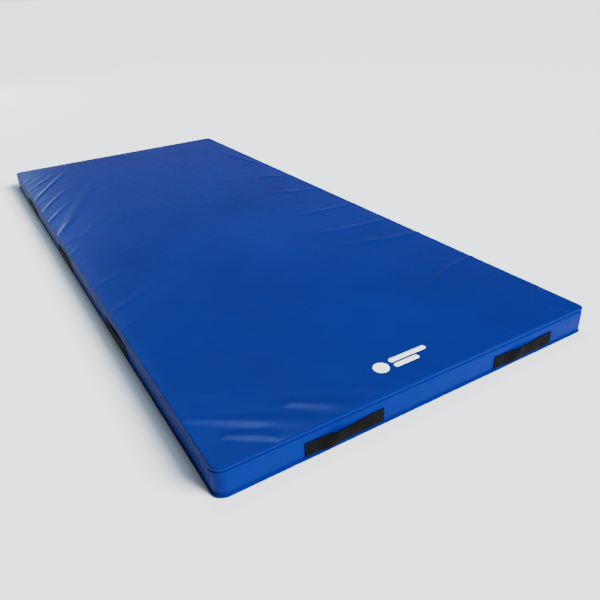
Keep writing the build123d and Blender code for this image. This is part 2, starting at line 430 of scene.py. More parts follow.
def printed_ink(name):
    material, tree, shader = node_material(name)
    place = object_place(tree)
    wear = noise(tree, place, 160.0, 6.0)
    dull = (0.74, 0.76, 0.8, 1)
    clean = (0.93, 0.94, 0.95, 1)
    tree.links.new(mixed(tree, ranged(tree, wear, 0.3, 0.5), dull, clean), shader.inputs["Base Color"])
    tree.links.new(bump(tree, noise(tree, place, 900.0, 2.0), 0.03 * MM, 0.4), shader.inputs["Normal"])
    shader.inputs["Roughness"].default_value = 0.4
    return material


def studio_floor(name):
    material, tree, shader = node_material(name)
    tree.nodes.remove(shader)
    output = tree.nodes["Material Output"]
    diffuse = add_node(tree, "ShaderNodeBsdfDiffuse", {"Color": (0.92, 0.92, 0.92, 1)})
    tree.links.new(diffuse.outputs[0], output.inputs["Surface"])
    return material


# The top and the bands both carry painted shade along the top seam (seam=TOP_SEAM_Z).
TOP_BLUES = ((0.0006, 0.0058, 0.096, 1), (0.0009, 0.0085, 0.125, 1))
TOP_VINYL = vinyl("blue_vinyl_top", *TOP_BLUES, seam=TOP_SEAM_Z, edge=TOP_Z)
BAND_BLUES = ((0.0007, 0.0072, 0.105, 1), (0.0010, 0.0098, 0.135, 1))
BAND_VINYL = vinyl("blue_vinyl_band", *BAND_BLUES, 0.5, 0.05, TOP_SEAM_Z)
# The base panel's blue is darker than the bands': painted shade along the bottom edge by the floor.
BASE_VINYL = vinyl("blue_vinyl_base", (0.0006, 0.0058, 0.088, 1), (0.0009, 0.0078, 0.105, 1), 0.55, 0.03)
WEBBING = webbing_weave("black_webbing", (0.0008, 0.0008, 0.001, 1), (0.0032, 0.003, 0.0038, 1))
ZIP_TAPE = webbing_weave("zip_tape_weave", (0.004, 0.012, 0.05, 1), (0.012, 0.032, 0.12, 1), True)
BLUE_THREAD = spun_thread("blue_thread", (0.004, 0.030, 0.22, 1), 0.5)
DEEP_THREAD = spun_thread("deep_blue_thread", (0.0008, 0.008, 0.10, 1), 0.5)
BLACK_THREAD = spun_thread("black_thread", (0.004, 0.004, 0.005, 1), 0.6)
PATCH_CLOTH = vinyl("patch_vinyl", (0.008, 0.010, 0.014, 1), (0.014, 0.016, 0.022, 1), 0.5)
CHIP_FOAM = chip_foam("bonded_chip_foam")
CELL_FOAM = cell_foam("closed_cell_foam", (0.78, 0.79, 0.77, 1))
ANTI_SLIP = anti_slip_rubber("anti_slip_coating")
ZIP_METAL = plated_metal("plated_zinc")
ZIP_NYLON = moulded_nylon("zip_nylon")
INK = printed_ink("white_ink")


# ------------------------------------------------------------------ folds in the slack cover
# Each fold: its start and its end on the mat in metres, its height and half width in millimetres, and
# its sideways bow in metres.
# They lie where slack cloth gathers: across the corners, and inwards from the sides.
FOLDS = [
    # across the near left corner
    (-0.453, -0.912, -0.240, -1.066, 2.2, 12, 0.0),
    (-0.405, -0.996, -0.296, -1.068, 2.0, 11, 0.001),
    (-0.270, -0.982, -0.158, -1.066, 2.0, 12, 0.001),
    (-0.452, -0.820, -0.310, -0.930, 0.9, 16, 0.006),
    (-0.140, -1.015, -0.082, -1.066, 1.0, 9, 0.001),
    (-0.350, -1.036, -0.318, -1.066, 0.8, 6, 0.0),
    # fanned across the far left corner
    (-0.453, 0.795, -0.325, 0.980, 1.2, 5, 0.003),
    (-0.453, 0.728, -0.290, 0.945, 2.0, 5, 0.004),
    (-0.453, 0.690, -0.405, 0.748, 1.0, 4, 0.0),
    (-0.453, 0.590, -0.215, 1.020, 2.4, 7, 0.004),
    (-0.453, 0.540, -0.396, 0.598, 1.5, 4, 0.0),
    (-0.453, 0.436, -0.285, 0.710, 1.8, 6, 0.006),
    (-0.453, 0.425, -0.418, 0.472, 1.2, 4, 0.0),
    (-0.453, 0.318, -0.415, 0.366, 1.3, 4, 0.0),
    (-0.452, 0.312, -0.312, 0.530, 1.3, 7, 0.006),
    (-0.452, 0.165, -0.335, 0.350, 1.1, 7, 0.005),
    (-0.430, 0.200, -0.120, 0.840, 1.2, 18, 0.010),
    (-0.380, 0.120, -0.240, 0.300, 0.8, 12, 0.004),
    (-0.453, 0.860, -0.392, 0.960, 0.9, 5, 0.001),
    (-0.140, 0.560, -0.020, 0.900, 0.7, 20, 0.010),
    # short pleats in from the left side
    (-0.453, 0.084, -0.392, 0.112, 1.1, 5, 0.001),
    (-0.453, 0.040, -0.415, 0.062, 0.8, 4, 0.0),
    (-0.453, -0.016, -0.404, 0.036, 1.2, 5, 0.001),
    (-0.453, -0.120, -0.410, -0.092, 0.8, 5, 0.0),
    (-0.453, -0.290, -0.372, -0.235, 1.1, 7, 0.002),
    (-0.452, -0.450, -0.240, -0.330, 0.9, 12, 0.008),
    (-0.453, -0.540, -0.392, -0.505, 0.9, 6, 0.001),
    (-0.453, -0.655, -0.398, -0.628, 0.7, 6, 0.001),
    # long shallow folds in from the right side
    (0.430, 0.470, 0.385, 0.800, 1.6, 8, 0.005),
    (0.452, 0.640, 0.360, 0.700, 1.3, 6, 0.002),
    (0.453, 0.030, 0.235, 0.125, 2.0, 8, 0.010),
    (0.452, -0.185, 0.205, -0.150, 1.9, 8, 0.008),
    (0.453, -0.365, 0.150, -0.320, 2.1, 9, 0.010),
    (0.453, -0.505, 0.180, -0.440, 1.9, 9, 0.008),
    (0.453, -0.722, 0.210, -0.830, 2.1, 10, -0.024),
    (0.453, 0.240, 0.300, 0.330, 1.4, 8, 0.006),
    # behind the far handles and the near right corner
    (0.060, 1.066, 0.090, 0.960, 0.9, 8, 0.002),
    (-0.215, 1.066, -0.160, 0.990, 0.9, 7, 0.002),
    (0.453, -0.930, 0.405, -0.985, 0.8, 7, 0.001),
    (0.410, -1.066, 0.372, -1.020, 0.7, 6, 0.001),
    (0.240, -1.066, 0.222, -1.005, 0.7, 6, 0.001),
]
FOLD_SPREAD = 2.2


def fold_heights(x, y):
    """Height of the slack cloth's folds at each point: a ridge with a shallow trough along each side."""
    height = np.zeros_like(x)
    for x0, y0, x1, y1, ridge, half_width, bow in FOLDS:
        run = math.hypot(x1 - x0, y1 - y0)
        ux, uy = (x1 - x0) / run, (y1 - y0) / run
        t = ((x - x0) * ux + (y - y0) * uy) / run
        across = (x - x0) * -uy + (y - y0) * ux - bow * 4 * t * (1 - t)
        fade = smooth_step((t + 0.1) / 0.16) * smooth_step((1.0 - t) / 0.6)
        spread = half_width * MM * (0.6 + 0.8 * np.clip(t, 0, 1))
        reach = (across / spread) ** 2
        height += ridge * MM * fade * np.exp(-reach / 2) * (1 - reach / FOLD_SPREAD)
    return height


WAVES = [
    (rng.uniform(0, 2 * math.pi), rng.uniform(0.22, 0.55), rng.uniform(0, 2 * math.pi), rng.uniform(0.5, 1.0))
    for _ in range(9)
]


def slack_waves(x, y):
    """Long, very low undulations of cloth that lies on flat foam."""
    height = np.zeros_like(x)
    for turn, length, phase, size in WAVES:
        height += size * np.sin(2 * math.pi * (x * math.cos(turn) + y * math.sin(turn)) / length + phase)
    return height / len(WAVES)


CROWN = 2.5 * MM
WAVE = 0.9 * MM
CALM_EDGE = 60 * MM          # the waves die away this far from the edge


def top_heights(x, y):
    """Height over the flat top: a low crown that falls to the edges, waves and folds."""
    crown_x = 1 - (np.abs(x) / HALF_X) ** 4
    crown_y = 1 - (np.abs(y) / HALF_Y) ** 8
    edge = np.minimum(HALF_X - np.abs(x), HALF_Y - np.abs(y))
    calm = smooth_step(edge / CALM_EDGE)
    return CROWN * crown_x * crown_y + WAVE * calm * slack_waves(x, y) + fold_heights(x, y)


def flat_heights(x, y):
    return np.zeros_like(x)


PUCKER_PITCH = 0.031
PUCKER_DRIFT = 0.17          # over this length the pitch grows and shrinks
PUCKER_FADE = 0.43           # and over this one the puckers come and go
PUCKER = 0.35 * MM


def seam_puckers(x, y):
    """Small irregular gathers where the thread pulls the cloth in, along the edge."""
    run = x + y
    drift = 2.2 * np.sin(run * 2 * math.pi / PUCKER_DRIFT)
    gather = np.sin(run * 2 * math.pi / PUCKER_PITCH + drift)
    patch = 0.5 + 0.5 * np.sin(run * 2 * math.pi / PUCKER_FADE + 1.3)
    return gather * (0.25 + 0.75 * patch)


# ------------------------------------------------------------------ cover panels
def graded(half, margin, fine, coarse):
    """Grid lines from -half to half, close together within a margin of each end."""
    edge = np.linspace(0, margin, round(margin / fine) + 1)
    middle = np.linspace(-half + margin, half - margin, round(2 * (half - margin) / coarse) + 1)
    return np.concatenate([-half + edge[:-1], middle, half - margin + edge[1:]])


def corner_radius(x, y):
    """The cover's own corner radius at each place: one corner is pulled tighter than the others."""
    tight = (np.asarray(x) > 0) & (np.asarray(y) < 0)
    return np.where(tight, TIGHT_CORNER, CORNER)


def rounded_grid(half_x, half_y, roll, lines_x, lines_y):
    """A grid whose four corners are rounded: each corner square is bent to a quarter disc."""
    x, y = np.meshgrid(lines_x, lines_y, indexing="ij")
    radius = corner_radius(x, y) - roll
    u = np.clip((np.abs(x) - half_x + radius) / radius, 0, 1)
    v = np.clip((np.abs(y) - half_y + radius) / radius, 0, 1)
    bent_x = half_x - radius + radius * u * np.sqrt(1 - v * v / 2)
    bent_y = half_y - radius + radius * v * np.sqrt(1 - u * u / 2)
    x = np.where(u > 0, np.sign(x) * bent_x, x)
    y = np.where(v > 0, np.sign(y) * bent_y, y)
    return x, y


def grid_outline(rows, columns):
    """Indices of a grid's outer points, once round from its first corner."""
    index = np.arange(rows * columns).reshape(rows, columns)
    return np.concatenate([index[:-1, 0], index[-1, :-1], index[:0:-1, -1], index[0, :0:-1]])


def outline_directions(x, y, half_x, half_y, roll):
    """The level outward direction at each point of a rounded outline."""
    radius = corner_radius(x, y) - roll
    dx = np.sign(x) * np.clip(np.abs(x) - half_x + radius, 0, None)
    dy = np.sign(y) * np.clip(np.abs(y) - half_y + radius, 0, None)
    length = np.hypot(dx, dy)
    return dx / length, dy / length


TOP_ROLL = 4 * MM
BASE_ROLL = 1.8 * MM
TOP_BULGE = 0.3 * MM
BASE_BULGE = 2.7 * MM
TOP_SPACING = (4 * MM, 8.5 * MM)          # grid spacing near the edges, and in the middle
BASE_SPACING = (9 * MM, 30 * MM)
TOP_MARGIN = 0.12                         # how far in from the edges the close spacing goes
BASE_MARGIN = 0.027


def panel_mesh(name, spacing, margin, height_of, roll, profile, top):
    """A panel's flat middle as a rounded grid, then one loop for each step of its rolled edge.

    A step is (out, up, share), and its share is how far the seam has levelled and gathered the cloth."""
    half_x, half_y = HALF_X - roll, HALF_Y - roll
    lines_x = graded(half_x, margin, *spacing)
    lines_y = graded(half_y, margin, *spacing)
    x, y = rounded_grid(half_x, half_y, roll, lines_x, lines_y)
    rows, columns = x.shape
    flat_z = TOP_Z if top else BASE_Z
    z = flat_z + height_of(x, y)
    points = [np.stack([x.ravel(), y.ravel(), z.ravel()], axis=1)]
    outline = grid_outline(rows, columns)
    ox, oy, oz = (values.ravel()[outline] for values in (x, y, z))
    dx, dy = outline_directions(ox, oy, half_x, half_y, roll)
    lift = oz - flat_z
    gather = seam_puckers(ox, oy)
    for out, up, share in profile:
        reach = roll + out + gather * PUCKER * share
        points.append(np.stack([ox + dx * reach, oy + dy * reach, flat_z + up + lift * (1 - share)], axis=1))
    index = np.arange(rows * columns).reshape(rows, columns)
    quads = np.stack([index[:-1, :-1], index[1:, :-1], index[1:, 1:], index[:-1, 1:]], axis=-1).reshape(-1, 4)
    faces = [quads if top else quads[:, ::-1]]
    loop = outline
    count = len(outline)
    for step in range(len(profile)):
        outer = rows * columns + step * count + np.arange(count)
        ring = np.stack([loop, outer, np.roll(outer, -1), np.roll(loop, -1)], axis=1)
        faces.append(ring if top else ring[:, ::-1])
        loop = outer
    return new_piece(name, np.concatenate(points), np.concatenate(faces))


def rolled_profile(roll, depth, bulge, lip, top):
    """(out, up, share) steps from the flat, over the roll and down the lip to the seam."""
    steps = []
    sign = -1 if top else 1
    drop = min(roll, 0.62 * depth)
    for turn in np.radians([15, 30, 45, 60, 75, 88]):
        fall = 1 - math.cos(turn)
        steps.append(((roll + bulge) * math.sin(turn) - roll, sign * drop * fall, 0.9 * fall))
    for out, share in lip:
        steps.append((out * MM, sign * depth * share, 1.0))
    return steps


# Millimetres outwards, and share of the panel's own depth
TOP_LIP = ((0.5, 0.6), (0.5, 0.68), (-0.2, 0.76), (-2.0, 0.83), (-4.4, 0.91), (-5.6, 0.985))
BASE_LIP = ((2.8, 0.36), (2.4, 0.5), (1.4, 0.66), (0.2, 0.8), (-1.0, 0.9), (-1.8, 0.985))


def make_top_panel():
    profile = rolled_profile(TOP_ROLL, TOP_Z - TOP_SEAM_Z, TOP_BULGE, TOP_LIP, True)
    panel = panel_mesh("cover_top_panel", TOP_SPACING, TOP_MARGIN, top_heights, TOP_ROLL, profile, True)
    apply_modifier(panel, "SOLIDIFY", thickness=CLOTH, offset=-1)
    dress(panel, TOP_VINYL, replaces=["top_panel"])
    return panel


def make_base_panel():
    profile = rolled_profile(BASE_ROLL, BASE_SEAM_Z - BASE_Z, BASE_BULGE, BASE_LIP, False)
    panel = panel_mesh("cover_base_panel", BASE_SPACING, BASE_MARGIN, flat_heights, BASE_ROLL, profile, False)
    apply_modifier(panel, "SOLIDIFY", thickness=CLOTH, offset=-1)
    dress(panel, BASE_VINYL, replaces=["base_panel"])
    return panel


# ------------------------------------------------------------------ side bands
def band_line(side, step):
    """The stretch of outline that one band covers: end bands hold the rounded corners."""
    run, out = SIDES[side]
    end_band = side in ("near", "far")
    half_across = HALF_Y if end_band else HALF_X
    half_run = HALF_X if end_band else HALF_Y
    ends = []
    for hand in (-1, 1):
        corner = out * half_across + run * (hand * half_run)
        ends.append(float(corner_radius(corner.x, corner.y)))
    count = round(2 * half_run / step)
    along = np.linspace(-half_run + ends[0], half_run - ends[1], count + 1)
    places = [(out * half_across + run * a, out) for a in along]
    if end_band:
        arc = np.radians(np.linspace(90, 0, 10, endpoint=False))
        for hand, radius in zip((-1, 1), ends):
            centre = out * (half_across - radius) + run * (hand * (half_run - radius))
            bent = []
            for angle in arc:
                direction = out * math.cos(angle) + run * (hand * math.sin(angle))
                bent.append((centre + direction * radius, direction))
            places = bent + places if hand < 0 else places + bent[::-1]
    return places


# Shares of a band's height, closer together by its seams
BAND_STEPS = [0.0, 0.012, 0.03, 0.06, 0.11, 0.2, 0.3, 0.4, 0.5, 0.6, 0.7, 0.8]
BAND_STEPS += [0.87, 0.92, 0.945, 0.965, 0.98, 0.99, 1.0]
BAND_STEP = 7 * MM
BAND_CROWN = 0.3 * MM
BAND_WAVE = 0.3 * MM
BAND_PUCKER = 0.3 * MM
ZIP_EASE = 14 * MM        # the run over which a band changes beside the zip
BAND_TUCK_TOP = 5.5 * MM
BAND_TUCK_BASE = 1.2 * MM
ZIP_TUCK = 0.1 * MM
ZIP_TAPE_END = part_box("zip_tape_lower")[1][1]
GROOVE = 2.0 * MM         # how far below the seam the band has come half way out again


def top_tuck(side, along):
    """How far a band's upper edge is drawn in: hardly at all where it lies over the zip's tapes."""
    if side != "right":
        return BAND_TUCK_TOP
    past = float(smooth_step((abs(along) - ZIP_TAPE_END) / ZIP_EASE))
    return ZIP_TUCK + (BAND_TUCK_TOP - ZIP_TUCK) * past


def band_out(share, tuck):
    """How far the band stands out between its seams: drawn in at both, barely crowned between."""
    below = (1 - share) * (TOP_SEAM_Z - BASE_SEAM_Z) / GROOVE
    pull = BAND_TUCK_BASE * math.exp(-share / 0.022) + tuck / (1 + below ** 3)
    return BAND_CROWN * math.sin(math.pi * share) - pull


def band_waves(along, share):
    """Shallow unevenness of a band pulled over foam."""
    drift = math.sin(along * 31 + 1.0) + 0.6 * math.sin(along * 67 + 2.0 * share)
    drift += 0.4 * math.sin(along * 143)
    return BAND_WAVE * drift * math.sin(math.pi * share)


def make_band(side, upper_edge):
    """One band. upper_edge gives its top at each distance along the side, lower where the zip is set in."""
    places = band_line(side, BAND_STEP)
    run, _ = SIDES[side]
    points = []
    for position, direction in places:
        top_z = upper_edge(position.dot(run))
        tuck = top_tuck(side, position.dot(run))
        gather = float(seam_puckers(np.array(position.x), np.array(position.y)))
        for share in BAND_STEPS:
            near_seam = math.exp(-share / 0.1) + math.exp(-(1 - share) / 0.1)
            out = band_out(share, tuck) + gather * BAND_PUCKER * near_seam
            out += band_waves(position.dot(run), share)
            z = BASE_SEAM_Z + (top_z - BASE_SEAM_Z) * share
            points.append(position + direction * out + Vector((0, 0, z)))
    faces = grid_faces(len(places), len(BAND_STEPS))
    band = new_piece("cover_band_" + side, points, faces)
    apply_modifier(band, "SOLIDIFY", thickness=CLOTH, offset=-1)
    dress(band, BAND_VINYL, replaces=["side_band_" + side])
    low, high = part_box("side_band_" + side)
    length = max(high[0] - low[0], high[1] - low[1])
    if side in ("near", "far"):
        length += (math.pi - 2) * CORNER
    return band


def full_height(along):
    return TOP_SEAM_Z


window_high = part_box("zip_stops")[1]
ZIP_Z = (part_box("zip_coil_lower")[1][2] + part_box("zip_coil_upper")[0][2]) / 2
ZIP_HALF_OPENING = TOP_SEAM_Z - ZIP_Z


def below_zip(along):
    ends = window_high[1] + 6 * MM
    inside = smooth_step((ends - abs(along)) / ZIP_EASE)
    return TOP_SEAM_Z - float(inside) * 2 * ZIP_HALF_OPENING


# ------------------------------------------------------------------ stitches
STITCH_RADIUS = 0.32 * MM
STITCH_LENGTH = 2.912 * MM
SEAM_PITCH = 4.4 * MM
TAB_PITCH = 3.4 * MM
TOP_ROW = 0.9              # the two rows' places as shares of the bands' height
BASE_ROW = 0.08


def stitch_shape():
    """One stitch: a short six-sided bar along X, made once and copied."""
    deselect()
    lying = (0, math.pi / 2, 0)
    bpy.ops.mesh.primitive_cylinder_add(vertices=6, radius=STITCH_RADIUS, depth=STITCH_LENGTH,
                                        rotation=lying)
    stitch = bpy.context.object
    apply_place(stitch)
    points = np.array([v.co for v in stitch.data.vertices])
    faces = [tuple(p.vertices) for p in stitch.data.polygons]
    bpy.data.objects.remove(stitch)
    return points, faces


STITCH_POINTS, STITCH_FACES = stitch_shape()


def sew(name, stitches, material):
    """One row of thread: a copy of the stitch at each (place, direction along, direction out)."""
    points, faces = [], []
    for place, along, out in stitches:
        side = out.cross(along)
        turn = np.array([along, side, out]).T
        start = len(points)
        points += list(STITCH_POINTS @ turn.T + np.array(place))
        faces += [tuple(start + i for i in face) for face in STITCH_FACES]
    piece = new_piece(name, points, faces)
    return dress(piece, material)


def seam_stitches(share, pitch):
    """Places for a row of stitches round the cover, on the bands at one share of their height."""
    z = BASE_SEAM_Z + (TOP_SEAM_Z - BASE_SEAM_Z) * share
    zip_end = window_high[1] + 8 * MM
    rows = []
    for side, (run, _) in SIDES.items():
        line = band_line(side, pitch)
        for (a, direction), (b, _) in zip(line, line[1:]):
            middle = (a + b) / 2
            along = middle.dot(run)
            at_zip = side == "right" and share > 0.7 and abs(along) < zip_end
            if (b - a).length < pitch * 0.6 or at_zip:
                continue
            out = band_out(share, top_tuck(side, along)) + band_waves(along, share) + 0.08 * MM
            rows.append((middle + direction * out + Vector((0, 0, z)), (b - a).normalized(), direction))
    return rows


# ------------------------------------------------------------------ handles
STRAP_THICKNESS = 1.5 * MM
STRAP_ROWS = 13
STRAP_STEP = 2 * MM
STRAP_RAISE = 2.0 * MM         # the straps are sewn a little above the middle of their patches
STRAP_LIFT = 1.7 * MM          # how far the whole strap stands clear in the middle
STRAP_CUP = 1.2 * MM           # how much it curls across its width
STRAP_LEAN = 4.2 * MM          # how far its upper edge leans out at the twist
STRAP_SWING = 1.8 * MM         # how far its lower edge swings out beside the twist
STRAP_WAIST = 0.13             # how much it is gathered past the twist
# Middle and spread of each change, in millimetres along the strap from its own middle
LEAN_PLACE = (-16, 14)
SWING_PLACE = (-36, 13)
WAIST_PLACE = (9, 26)
BAND_CLEAR = 0.35 * MM
# Which way each strap is twisted, and how much of the twist it has
STRAP_TWISTS = {"near": (1, 0.85), "left": (0.3, -0.25, 0.35), "far": (-0.8, 0.6), "right": (0.6, -0.5, 0.8)}


def handle_frame(name):
    """Side, centre on its face, run and outward directions, width, half lengths of strap and span."""
    side = name.split("_")[1]
    run, out = SIDES[side]
    grip_low, grip_high = (Vector(c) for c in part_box(name + "_grip"))
    tab_low, tab_high = (Vector(c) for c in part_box(name + "_sewn_ends"))
    leg_low, leg_high = (Vector(c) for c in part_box(name + "_legs"))
    centre = (grip_low + grip_high) / 2
    face = HALF_Y if side in ("near", "far") else HALF_X
    centre -= out * (centre.dot(out) - face)
    centre.z += STRAP_RAISE
    width = grip_high.z - grip_low.z
    half_length = abs((tab_high - tab_low).dot(run)) / 2
    half_span = abs((leg_high - leg_low).dot(run)) / 2
    return side, centre, run, out, width, half_length, half_span


def swell(place, middle, spread):
    return math.exp(-((place - middle) / spread) ** 2)


def strap_section(along, across, width, half_span, twist):
    """(rise, lift) of the strap: flat on its sewn ends, clear, gathered and a little twisted between."""
    place = math.copysign(along, along * twist) / MM
    amount = abs(twist)
    arch = float(smooth_step(1.5 * max(0.0, 1 - abs(along) / half_span)))
    upper = (across + 1) / 2
    lean = STRAP_LEAN * amount * swell(place, *LEAN_PLACE) * upper
    swing = STRAP_SWING * amount * swell(place, *SWING_PLACE) * (1 - upper)
    gather = 1 - STRAP_WAIST * (0.4 + 0.6 * amount) * swell(place, *WAIST_PLACE)
    cup = STRAP_CUP * arch * (1 - across * across)
    return width / 2 * across * gather, BAND_CLEAR + STRAP_LIFT * arch + lean + swing + cup


def make_strap(name):
    """The webbing, in two halves that meet in the middle. Each is shaped from its flat sewn end out to the
    arched middle.
    """
    side, centre, run, out, width, half_length, half_span = handle_frame(name)
    twist = STRAP_TWISTS[side][int(name.split("_")[2]) - 1]
    up = Vector((0, 0, 1))
    for hand, half in ((-1, "a"), (1, "b")):
        steps = round(half_length / STRAP_STEP)
        points, places = [], []
        for i in range(steps + 1):
            along = hand * half_length * i / steps
            for j in range(STRAP_ROWS):
                across = 2 * j / (STRAP_ROWS - 1) - 1
                rise, lift = strap_section(along, across, width, half_span, twist)
                points.append(centre + run * along + up * rise + out * lift)
                places.append((along, across * width / 2))
        faces = grid_faces(steps + 1, STRAP_ROWS, flip=hand < 0)
        strap = new_piece(name + "_strap_" + half, points, faces)
        layer = strap.data.uv_layers.new(name="UVMap")
        for loop in strap.data.loops:
            layer.data[loop.index].uv = places[loop.vertex_index]
        apply_modifier(strap, "SOLIDIFY", thickness=STRAP_THICKNESS, offset=1)
        activate(strap)
        bpy.ops.object.shade_smooth_by_angle(angle=math.radians(40))
        dress(strap, WEBBING, body=None)
        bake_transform(strap)
        if half == "a":
            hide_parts(name + "_grip", name + "_legs", name + "_sewn_ends")


def tab_stitches(name):
    """The box and cross of stitches that holds each sewn end."""
    _, centre, run, out, width, half_length, half_span = handle_frame(name)
    up = Vector((0, 0, 1))
    margin = 3 * MM
    rows = []
    surface = out * (BAND_CLEAR + STRAP_THICKNESS + 0.12 * MM)
    for hand in (-1, 1):
        outer = hand * (half_length - margin)
        inner = hand * (half_span + margin)
        rise = width / 2 - margin
        corners = [(outer, -rise), (outer, rise), (inner, rise), (inner, -rise)]
        lines = list(zip(corners, corners[1:] + corners[:1]))
        lines += [(corners[0], corners[2]), (corners[1], corners[3])]
        for (a0, r0), (a1, r1) in lines:
            start = centre + run * a0 + up * r0 + surface
            end = centre + run * a1 + up * r1 + surface
            along = (end - start).normalized()
            count = max(2, round((end - start).length / TAB_PITCH))
            for i in range(count):
                rows.append((start.lerp(end, (i + 0.5) / count), along, out))
    return rows


PATCH_OVERLAP = 5 * MM     # how far each backing patch reaches past its strap


def make_patch(name):
    """The square of stiff cloth behind a strap, inside the cover, that its stitches go through."""
    side, centre, run, out, _, half_length, _ = handle_frame(name)
    low, high = (Vector(c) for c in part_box("backing_patches_" + side))
    depth = ((low + high) / 2).dot(out)
    middle = centre + out * (depth - centre.dot(out))
    middle.z = (low.z + high.z) / 2
    half_run = half_length + PATCH_OVERLAP
    rows, columns = 26, 7
    points = []
    for i in range(rows):
        for j in range(columns):
            along = half_run * (2 * i / (rows - 1) - 1)
            rise = (high.z - low.z) / 2 * (2 * j / (columns - 1) - 1)
            ripple = 0.08 * MM * math.sin(along * 210 + rise * 90)
            points.append(middle + run * along + Vector((0, 0, rise)) + out * ripple)
    patch = new_piece(name + "_backing", points, grid_faces(rows, columns))
    apply_modifier(patch, "SOLIDIFY", thickness=0.6 * MM, offset=0)
    dress(patch, PATCH_CLOTH, replaces=["backing_patches_" + side])
    return patch


# ------------------------------------------------------------------ foam, underside and print
FOAM_EASE = 13 * MM       # the foam is cut a little smaller than the cover, clear of its sewn edges
FOAM_CUTS = (10, 24)      # cells across and along, so that its skin can be uneven


def block_from_node(name, node, material):
    """A soft block the size of a CAD solid, with eased edges and a slightly uneven skin."""
    low, high = (Vector(c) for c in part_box(node))
    middle = (low + high) / 2
    block = new_box(name, middle, (high - low) - Vector((FOAM_EASE, FOAM_EASE, 0.4 * MM)))
    select_where(block, "EDGE", upright_edges(block))
    bpy.ops.mesh.bevel(offset=CORNER - 3 * MM, segments=6)
    for axis, normal in enumerate((Vector((1, 0, 0)), Vector((0, 1, 0)))):
        for i in range(1, FOAM_CUTS[axis]):
            place = low[axis] + (high[axis] - low[axis]) * i / FOAM_CUTS[axis]
            bpy.ops.mesh.select_all(action="SELECT")
            bpy.ops.mesh.bisect(plane_co=normal * place, plane_no=normal)
    bpy.ops.object.mode_set(mode="OBJECT")
    for vertex in block.data.vertices:
        x, y, z = vertex.co
        dip = 0.25 * MM * (1 + math.sin(x * 41 + z * 90) * math.sin(y * 37))
        vertex.co.z -= dip if z > middle.z else -dip
    ease_edges(block, 1.2 * MM, 2)
    dress(block, material, replaces=[node])
    return block


def make_anti_slip():
    low, high = Vector(sheet_low), Vector(sheet_high)
    sheet = new_box("anti_slip_underlay", (low + high) / 2, high - low)
    select_where(sheet, "EDGE", upright_edges(sheet))
    bpy.ops.mesh.bevel(offset=12 * MM, segments=6)
    bpy.ops.object.mode_set(mode="OBJECT")
    ease_edges(sheet, 0.3 * MM, 2)
    dress(sheet, ANTI_SLIP, replaces=["anti_slip_sheet"])
    return sheet


MARK_CENTRE = (-0.014, -0.992)
MARK_DISC = 17 * MM
MARK_BARS = ((94 * MM, 13 * MM, 9 * MM), (62 * MM, 13 * MM, -9 * MM))     # length, width, height on the mark
MARK_BARS_START = -24 * MM
MARK_CUT = 3 * MM


def rounded_bar(length, width, x, y):
    """A flat round-ended bar: a disc whose right half is drawn out, cut across so that it can drape."""
    deselect()
    count = 36
    start = x - length / 2 + width / 2
    bpy.ops.mesh.primitive_circle_add(vertices=count, radius=width / 2, fill_type="NGON",
                                      location=(start, y, TOP_Z + 12 * MM), rotation=(0, 0, math.pi / count))
    bar = bpy.context.object
    apply_place(bar)
    select_where(bar, "VERT", lambda vertex: vertex.co.x > start)
    bpy.ops.transform.translate(value=(length - width, 0, 0))
    across = range(1, int(length / MARK_CUT))
    lengthwise = range(1, int(width / MARK_CUT) + 1)
    cuts = [((x - length / 2 + i * MARK_CUT, y, 0), (1, 0, 0)) for i in across]
    cuts += [((x, y - width / 2 + i * MARK_CUT, 0), (0, 1, 0)) for i in lengthwise]
    for place, normal in cuts:
        bpy.ops.mesh.select_all(action="SELECT")
        bpy.ops.mesh.bisect(plane_co=place, plane_no=normal)
    bpy.ops.object.mode_set(mode="OBJECT")
    return bar


def make_mark(panel):
    """A plain printed mark by the near end, a disc beside two round-ended bars, laid on the cloth."""
    x, y = MARK_CENTRE
    parts = [rounded_bar(2 * MARK_DISC, 2 * MARK_DISC, x - 50 * MM, y)]
    for length, width, height in MARK_BARS:
        parts.append(rounded_bar(length, width, x + MARK_BARS_START + length / 2, y + height))
    deselect()
    for part in parts:
        part.select_set(True)
    mark = parts[0]
    bpy.context.view_layer.objects.active = mark
    bpy.ops.object.join()
    mark.name = "printed_mark"
    apply_modifier(mark, "SHRINKWRAP", target=panel, wrap_method="PROJECT", use_project_z=True,
                   use_negative_direction=True, use_positive_direction=False, offset=0.1 * MM)
    apply_modifier(mark, "SOLIDIFY", thickness=0.12 * MM, offset=1)
    mark.data.shade_smooth()
    return dress(mark, INK)


# ------------------------------------------------------------------ zip
TAPE_THICKNESS = 0.5 * MM
TAPE_SET_BACK = 0.45 * MM
BEAD_WIDTH = 1.1 * MM
BEAD_RAISE = 0.14 * MM
COIL_PITCH = 2.4 * MM
COIL_OVERLAP = 0.35 * MM     # how far each row of teeth reaches over the middle of the zip


def make_zip_tape(name):
    """A zip tape: a thin strip in its CAD place, with a raised bead drawn out along its inner edge."""
    low, high = (Vector(c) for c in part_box("zip_tape_" + name))
    middle = (low + high) / 2
    middle.x = high.x - TAPE_SET_BACK
    tape = new_box("zip_cloth_" + name, middle, (TAPE_THICKNESS, high.y - low.y, high.z - low.z))
    bead_z = high.z - BEAD_WIDTH if name == "lower" else low.z + BEAD_WIDTH
    bpy.ops.object.mode_set(mode="EDIT")
    bpy.ops.mesh.select_all(action="SELECT")
    bpy.ops.mesh.bisect(plane_co=(0, 0, bead_z), plane_no=(0, 0, 1))
    bpy.ops.object.mode_set(mode="OBJECT")
    hand = 1 if name == "lower" else -1
    select_where(tape, "FACE", lambda face: face.normal.x > 0.9 and hand * (face.center.z - bead_z) > 0)
    bpy.ops.mesh.extrude_region_move(TRANSFORM_OT_translate={"value": (BEAD_RAISE, 0, 0)})
    bpy.ops.object.mode_set(mode="OBJECT")
    ease_edges(tape, 0.1 * MM, 2)
    return dress(tape, ZIP_TAPE, replaces=["zip_tape_" + name])


